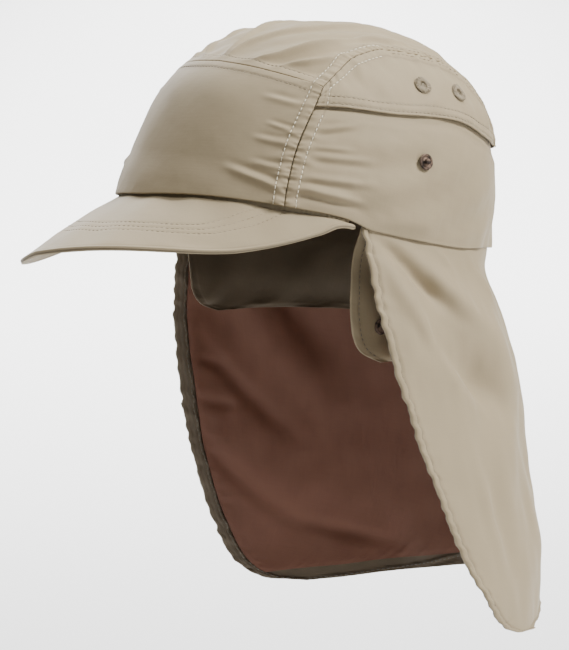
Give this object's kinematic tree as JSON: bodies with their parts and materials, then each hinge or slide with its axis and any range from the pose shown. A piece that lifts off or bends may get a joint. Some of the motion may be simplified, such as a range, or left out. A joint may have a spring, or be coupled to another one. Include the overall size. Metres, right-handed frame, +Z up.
{
  "type": "legionnaire cap",
  "caption": "Soft crowned sun cap with a curved peak, a short inner neck cover, and a long lined flap over the neck and ears.",
  "frame": {"origin": "middle of the head opening, at the rim where the cap sits on the head", "axes": "+Z up through the crown, -Y towards the peak, +X to the wearer's left"},
  "size_m": [0.2334, 0.2835, 0.3151],
  "materials": {
    "crown_cloth": "tight plain-woven nylon with a soft sheen, khaki stone",
    "peak_cloth": "tight plain-woven nylon with a soft sheen, khaki stone",
    "flap_cloth": "tight plain-woven nylon, khaki stone",
    "flap_lining": "matt brown lining cloth",
    "inner_flap_cloth": "plain-woven nylon, khaki outside and dark olive inside",
    "eyelet_thread": "satin embroidery thread",
    "snap_metal": "antique copper, darkened"
  },
  "bodies": {
    "root": {"front_panel": "crown_cloth", "top_panel": "crown_cloth", "side_panel_left": "crown_cloth", "side_panel_right": "crown_cloth", "pocket_band": "crown_cloth", "peak": "peak_cloth", "neck_flap": "flap_cloth", "neck_flap_lining": "flap_lining", "inner_flap": "inner_flap_cloth", "eyelet_left_front": "eyelet_thread", "eyelet_left_back": "eyelet_thread", "eyelet_right_front": "eyelet_thread", "eyelet_right_back": "eyelet_thread", "snap_stud_left": "snap_metal", "snap_stud_right": "snap_metal", "snap_socket_left": "snap_metal", "snap_socket_right": "snap_metal"}
  },
  "joints": []
}
